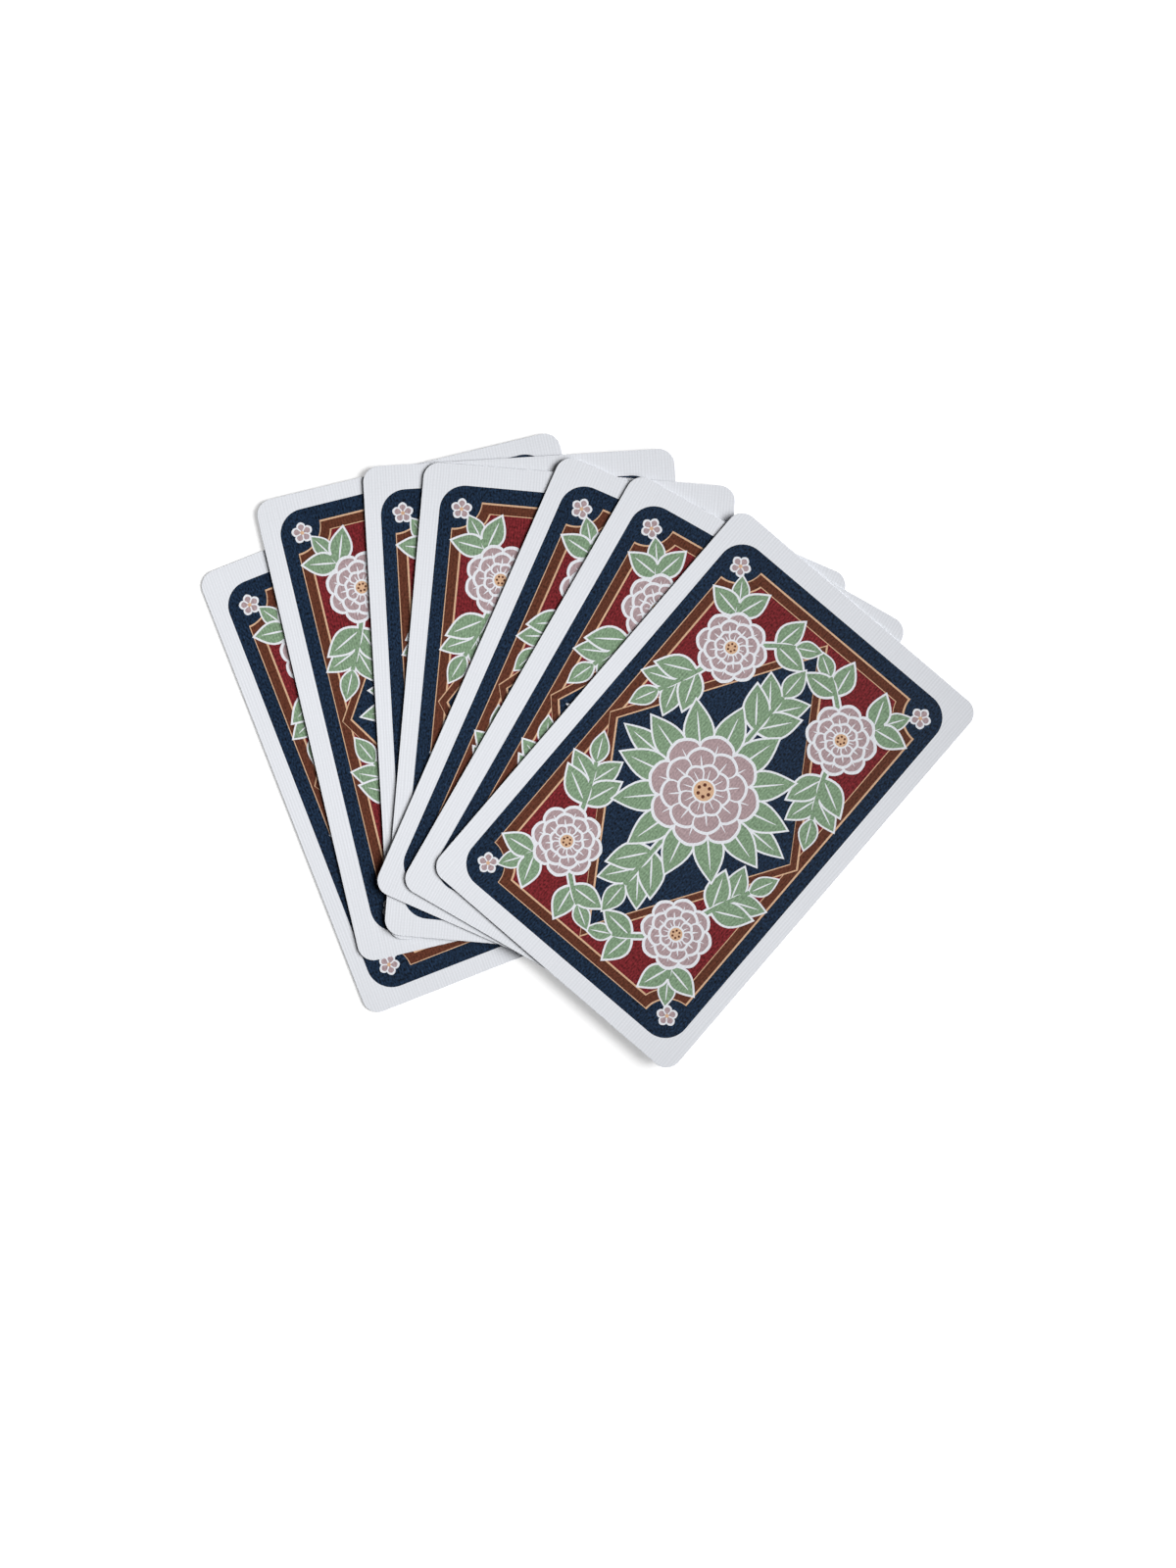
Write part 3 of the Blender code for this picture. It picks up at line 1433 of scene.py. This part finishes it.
@dataclass
class CardPlace:
    """Where a card lies, and its size, as its node in the frame has them.

    Attributes:
        to_frame: takes the plan, in millimetres with z from the underside, to the frame.
        half_width: half the card's width, in millimetres.
        half_height: half its height.
        thickness: its thickness.
        corner: the radius of its corners.
        DIGITS: how many digits of a metre tell the node's corners apart.
        SLACK: how far from its top edge a corner may be and still count as on it, in metres.
    """

    to_frame: Matrix
    half_width: float
    half_height: float
    thickness: float
    corner: float

    DIGITS = 7
    SLACK = 0.01 * MM

    @classmethod
    def of(cls, node: bpy.types.Object) -> CardPlace:
        """Reads a card's place off its node.

        Args:
            node: the CAD node, whose place is in its mesh.

        Returns:
            The card's place and sizes.
        """
        corners = {tuple(round(c, cls.DIGITS) for c in vertex.co) for vertex in node.data.vertices}
        spots = [Vector(corner) for corner in sorted(corners)]
        low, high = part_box(node.name)
        middle = sum(spots, Vector()) / len(spots)
        spread_x = sum((s.x - middle.x) ** 2 for s in spots)
        spread_y = sum((s.y - middle.y) ** 2 for s in spots)
        mixed = sum((s.x - middle.x) * (s.y - middle.y) for s in spots)
        heading = math.atan2(2.0 * mixed, spread_x - spread_y) / 2.0
        lean = heading - math.copysign(math.pi / 2.0, heading)
        seat = Matrix.Translation((middle.x, middle.y, low.z)) @ Matrix.Rotation(lean, 4, "Z")
        own = [seat.inverted() @ s for s in spots]
        half_width = max(p.x for p in own)
        half_height = max(p.y for p in own)
        straight = max(p.x for p in own if p.y > half_height - cls.SLACK)
        return cls(
            to_frame=seat @ Matrix.Scale(MM, 4),
            half_width=half_width / MM,
            half_height=half_height / MM,
            thickness=(high.z - low.z) / MM,
            corner=(half_width - straight) / MM,
        )


class SheetFace(NamedTuple):
    """One face of a card's mesh.

    Attributes:
        corners: the numbers of its corners.
        ink: what covers it.
        flat: its corners' places on the plan, with the rim laid flat round it.
        side: which side it belongs to.
    """

    corners: list[int]
    ink: Ink
    flat: list[Point]
    side: Side


@dataclass
class CardSheet:
    """One card: its back, its face and the rim between them, as a closed mesh.

    Attributes:
        node: the CAD node that it stands for, which is also its body.
        place: where that node lies, and its size.
        back: the print of its back.
        face: the print of its face.
        shift: how far the grain and the embossing are moved on this card, in millimetres.
        rim: how far its edges are rounded over, in millimetres.
        rim_steps: the steps of that rounding.
        paste: the share of the thickness that the dark paste takes.
        corner_steps: the steps of a rounded corner.
        corners: the mesh's corners so far, on the plan with z from the underside.
        faces: its faces so far.
    """

    node: str
    place: CardPlace
    back: Sequence[Region]
    face: Sequence[Region]
    shift: Point
    rim: float = 0.06
    rim_steps: int = 3
    paste: float = 0.16
    corner_steps: int = 14
    corners: list[Vector] = field(default_factory=list)
    faces: list[SheetFace] = field(default_factory=list)

    def outline(self, offset: float) -> Loop:
        """The card's outline, moved outwards by offset."""
        sizes = (self.place.half_width, self.place.half_height, self.place.corner)
        return rounded_panel(*(size + offset for size in sizes), self.corner_steps)

    def add_side(self, print_regions: Sequence[Region], side: Side) -> list[int]:
        """Adds one printed side.

        Args:
            print_regions: the print, on the plan.
            side: which side it is. The face looks down.

        Returns:
            The corners along its rim, in the outline's order.
        """
        cut = imprint(self.outline(-self.rim), print_regions)
        start = len(self.corners)
        level = self.place.thickness if side is Side.BACK else 0.0
        self.corners += [Vector((x, y, level)) for x, y in cut.points]
        for triangle, ink in zip(cut.triangles, cut.inks):
            order = triangle if side is Side.BACK else triangle[::-1]
            flat = [cut.points[i] for i in order]
            self.faces.append(SheetFace([start + i for i in order], ink, flat, side))
        return [start + i for i in cut.rim]

    def rim_levels(self) -> list[tuple[float, float, Ink]]:
        """The rings of the rim, from the back's edge down to the face's.

        Returns:
            Each ring's offset from the outline, its height and the ink above it.
        """
        thick = self.place.thickness
        quarter = [math.pi / 2.0 * i / self.rim_steps for i in range(1, self.rim_steps + 1)]
        turned = [(self.rim * (math.sin(a) - 1.0), self.rim * (1.0 - math.cos(a))) for a in quarter]
        over = [(offset, thick - drop, Ink.RIM) for offset, drop in turned]
        under = [(offset, drop, Ink.RIM) for offset, drop in turned[-2::-1]]
        paste_top = thick * (0.5 + self.paste / 2.0)
        wall = [
            (0.0, paste_top, Ink.CUT_STOCK),
            (0.0, thick - paste_top, Ink.PASTE),
            (0.0, self.rim, Ink.CUT_STOCK),
        ]
        return [*over, *wall, *under, (-self.rim, 0.0, Ink.RIM)]

    def add_rim(self, upper: list[int], lower: list[int]) -> None:
        """Closes the sheet with the rim's rings.

        Args:
            upper: the corners round the back.
            lower: the corners round the face.
        """
        above, reach = upper, -self.rim
        offset, height = -self.rim, self.place.thickness
        levels = self.rim_levels()
        for number, (next_offset, next_height, ink) in enumerate(levels):
            below = lower
            if number < len(levels) - 1:
                below = list(range(len(self.corners), len(self.corners) + len(upper)))
                self.corners += [Vector((x, y, next_height)) for x, y in self.outline(next_offset)]
            step = math.hypot(next_offset - offset, next_height - height)
            flat_above, flat_below = self.outline(reach), self.outline(reach + step)
            for i in range(len(upper)):
                j = (i + 1) % len(upper)
                ring = [above[i], below[i], below[j], above[j]]
                flat = [flat_above[i], flat_below[i], flat_below[j], flat_above[j]]
                self.faces.append(SheetFace(ring, ink, flat, Side.BACK))
            above, offset, height, reach = below, next_offset, next_height, reach + step

    def lay_maps(self, mesh: bpy.types.Mesh) -> None:
        """Adds the two maps: the plan in millimetres, and both sides beside each other to bake.

        Args:
            mesh: the card's mesh.
        """
        rim_room = 2.0 * self.rim + self.place.thickness
        width = 2.0 * (self.place.half_width + rim_room)
        plan, bake = [], []
        for face in self.faces:
            across = 0.0 if face.side is Side.BACK else 1.0
            for x, y in face.flat:
                plan += [x + self.shift[0] + across * width, y + self.shift[1]]
                bake += [(x / width + 0.5 + across) / 2.0, 0.5 + y / width / 2.0]
        for name, values in ((PLAN_MAP, plan), (BAKE_MAP, bake)):
            mesh.uv_layers.new(name=name).uv.foreach_set("vector", values)
        mesh.uv_layers[PLAN_MAP].active_render = True

    def build(self, shop: PrintShop) -> bpy.types.Object:
        """Makes the card's mesh in its place, with its inks.

        Args:
            shop: where the inks come from.

        Returns:
            The card, as an object at the origin.
        """
        upper = self.add_side(self.back, Side.BACK)
        lower = self.add_side(mirrored(self.face, -1, 1), Side.FACE)
        self.add_rim(upper, lower)
        mesh = bpy.data.meshes.new(f"{self.node}_sheet")
        places = [self.place.to_frame @ corner for corner in self.corners]
        mesh.from_pydata(places, [], [face.corners for face in self.faces])
        inks = [face.ink for face in self.faces]
        used = [ink for ink in Ink if ink in inks]
        for ink in used:
            mesh.materials.append(shop.materials[ink])
        mesh.polygons.foreach_set("material_index", [used.index(ink) for ink in inks])
        self.lay_maps(mesh)
        mesh.update()
        return add_object(mesh.name, mesh)


class CardChoice(NamedTuple):
    """Which card of the pack a node is, and how its back came off the printed sheet.

    Attributes:
        node: the CAD node.
        rank: the card's number.
        suit: its suit.
        print_shift: how far the back's print sits from the card's middle, in millimetres.
        print_turn_deg: how far that print is turned anticlockwise.
    """

    node: str
    rank: int
    suit: Suit
    print_shift: Point
    print_turn_deg: float


@dataclass
class CardFan:
    """The fan.

    Attributes:
        cards: all of its cards, bottom one first.
        grain_step: how far the grain and the embossing move from card to card, in millimetres.
    """

    cards: tuple[CardChoice, ...] = (
        CardChoice("bottom_card", 7, Suit.DIAMOND, (-0.17, -0.49), -0.18),
        CardChoice("second_card", 4, Suit.SPADE, (0.39, 0.68), 0.35),
        CardChoice("third_card", 9, Suit.HEART, (-0.29, -0.93), -0.05),
        CardChoice("fourth_card", 2, Suit.CLUB, (-0.02, -0.36), -0.45),
        CardChoice("fifth_card", 8, Suit.SPADE, (-0.08, -0.08), -0.14),
        CardChoice("sixth_card", 5, Suit.HEART, (0.47, 0.34), 0.10),
        CardChoice("top_card", 10, Suit.CLUB, (0.04, -0.20), 0.27),
    )
    grain_step: Point = (170.3, 260.7)

    def build(self, nodes: dict[str, bpy.types.Object]) -> None:
        """Builds every card and lets it ride on its body.

        Args:
            nodes: the CAD nodes, by name.
        """
        shop = PrintShop()
        pattern = BackPrint(Growth(shop)).regions()
        for number, (node, rank, suit, print_shift, print_turn_deg) in enumerate(self.cards):
            shift = (self.grain_step[0] * number, self.grain_step[1] * number)
            back = moved(pattern, print_shift, turn_deg=print_turn_deg)
            face = FacePrint(rank, suit).regions()
            sheet = CardSheet(node, CardPlace.of(nodes[node]), back, face, shift).build(shop)
            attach(sheet, node)
            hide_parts(node)
            faces, inks = len(sheet.data.polygons), len(sheet.data.materials)
            log.info("%s: %d faces in %d inks", sheet.name, faces, inks)


# The studio


@dataclass(frozen=True)
class Softbox:
    """A softbox with a grid, which holds its light to a beam.

    Attributes:
        name: its name.
        aim: where its beam meets the floor, in metres.
        azimuth_deg: the side that it stands on, anticlockwise from +X.
        elevation_deg: how high it stands over that place.
        distance: how far away it is, in metres.
        sides: its width and its height, in metres.
        spread_deg: how far the grid lets its light spread.
        power: its power, in watts.
    """

    name: str
    aim: tuple[float, float, float]
    azimuth_deg: float
    elevation_deg: float
    distance: float
    sides: tuple[float, float]
    spread_deg: float
    power: float

    def hang(self) -> None:
        """Adds the lamp to the scene, turned to its aim."""
        lamp = bpy.data.lights.new(self.name, "AREA")
        lamp.shape = "RECTANGLE"
        lamp.size, lamp.size_y = self.sides
        lamp.spread = math.radians(self.spread_deg)
        lamp.energy = self.power
        across, up = math.radians(self.azimuth_deg), math.radians(self.elevation_deg)
        level = math.cos(up)
        away = Vector((level * math.cos(across), level * math.sin(across), math.sin(up)))
        stand = add_object(self.name, lamp)
        stand.location = Vector(self.aim) + away * self.distance
        stand.rotation_euler = (-away).to_track_quat("-Z", "Y").to_euler()
        stand.visible_camera = False


@dataclass
class Studio:
    """The floor, the light and the camera round the fan.

    Attributes:
        floor_side: the floor's side, in metres.
        floor_gap: how far the floor is below the bottom card.
        floor_colour: the floor's pale grey.
        floor_roughness: how dull it is.
        floor_lift: the plain white that the floor adds to it, near the fan and away from it.
        floor_reach: how far from the fan's middle the first ends and the second begins, in metres.
        room_light: the even light of the room.
        key: the lamp on the right.
        focal_px: the camera's focal length in pixels of a picture picture_px high.
        picture_px: the height of that picture.
        sensor_mm: the longer side of the camera's sensor, in millimetres.
        nearest: the nearest that the camera sees, in metres.
        distance: from the camera to the place it looks at, in metres.
        aim: that place.
        tilt_deg: how far the camera stands in front of that place and to its right, as angles.
    """

    floor_side: float = 6.0
    floor_gap: float = 0.02 * MM
    floor_colour: Colour = (0.80, 0.80, 0.80)
    floor_roughness: float = 0.9
    floor_lift: tuple[float, float] = (0.42, 1.0)
    floor_reach: tuple[float, float] = (0.06, 0.16)
    room_light: float = 0.04
    key: Softbox = Softbox(
        name="key_softbox",
        aim=(-0.46, 0.025, 0.0),
        azimuth_deg=-2.8,
        elevation_deg=26.0,
        distance=0.69,
        sides=(0.27, 0.44),
        spread_deg=68.5,
        power=1.05,
    )
    focal_px: float = 2200.0
    picture_px: float = 1600.0
    sensor_mm: float = 36.0
    nearest: float = 0.01
    distance: float = 399.8 * MM
    aim: tuple[float, float, float] = (0.56 * MM, -6.46 * MM, 0.0)
    tilt_deg: tuple[float, float] = (0.930, 1.347)

    def lay_floor(self) -> None:
        """A pale floor that shows white to the camera and keeps the fan's shadow."""
        half = self.floor_side / 2.0
        corners = ((-half, -half), (half, -half), (half, half), (-half, half))
        mesh = bpy.data.meshes.new("floor")
        mesh.from_pydata([(x, y, -self.floor_gap) for x, y in corners], [], [(0, 1, 2, 3)])
        board = MaterialBoard("pale_floor")
        seen = board.add("ShaderNodeLightPath")
        rays = [Wire(board, seen.outputs[name]) for name in ("Is Camera Ray", "Is Glossy Ray")]
        place = board.wire("ShaderNodeTexCoord", out="Object")
        away = board.wire("ShaderNodeVectorMath", {0: place}, "Value", operation="LENGTH")
        near, far = self.floor_lift
        lift = near + board.ramp(away, *self.floor_reach) * (far - near)
        board.look("Base Color", (*self.floor_colour, 1.0))
        board.look("Roughness", self.floor_roughness)
        board.look("Emission Color", WHITE)
        board.look("Emission Strength", board.math("MAXIMUM", *rays) * lift)
        mesh.materials.append(board.material)
        floor = add_object("floor", mesh)

    def light_room(self) -> None:
        """Even light from all round, which the camera sees as white."""
        world = bpy.data.worlds.new("room")
        world.use_nodes = True
        board = Board(world.node_tree)
        background = world.node_tree.nodes["Background"]
        camera_ray = board.wire("ShaderNodeLightPath", out="Is Camera Ray")
        strength = self.room_light + camera_ray * (1.0 - self.room_light)
        board.feed(background.inputs["Color"], WHITE)
        board.feed(background.inputs["Strength"], strength)
        bpy.context.scene.world = world

    def set_camera(self) -> None:
        """The camera, almost straight above the fan."""
        camera = bpy.data.cameras.new("camera")
        camera.sensor_fit = "AUTO"
        camera.sensor_width = self.sensor_mm
        camera.lens = self.sensor_mm * self.focal_px / self.picture_px
        camera.clip_start = self.nearest
        turn = Euler((math.radians(self.tilt_deg[0]), math.radians(self.tilt_deg[1]), 0.0))
        back = turn.to_matrix() @ Vector((0.0, 0.0, 1.0))
        stand = add_object("camera", camera)
        stand.location = Vector(self.aim) + back * self.distance
        stand.rotation_euler = turn
        bpy.context.scene.camera = stand

    def build(self) -> None:
        """Sets up the whole studio."""
        self.lay_floor()
        self.light_room()
        self.key.hang()
        self.set_camera()
        bpy.context.scene.view_settings.view_transform = "Standard"


def main() -> None:
    """Builds the fan on its frame, and the studio round it."""
    logging.basicConfig(level=logging.INFO, format="%(name)s: %(message)s")
    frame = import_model()
    CardFan().build(frame["nodes"])
    Studio().build()


if __name__ == "__main__":
    main()
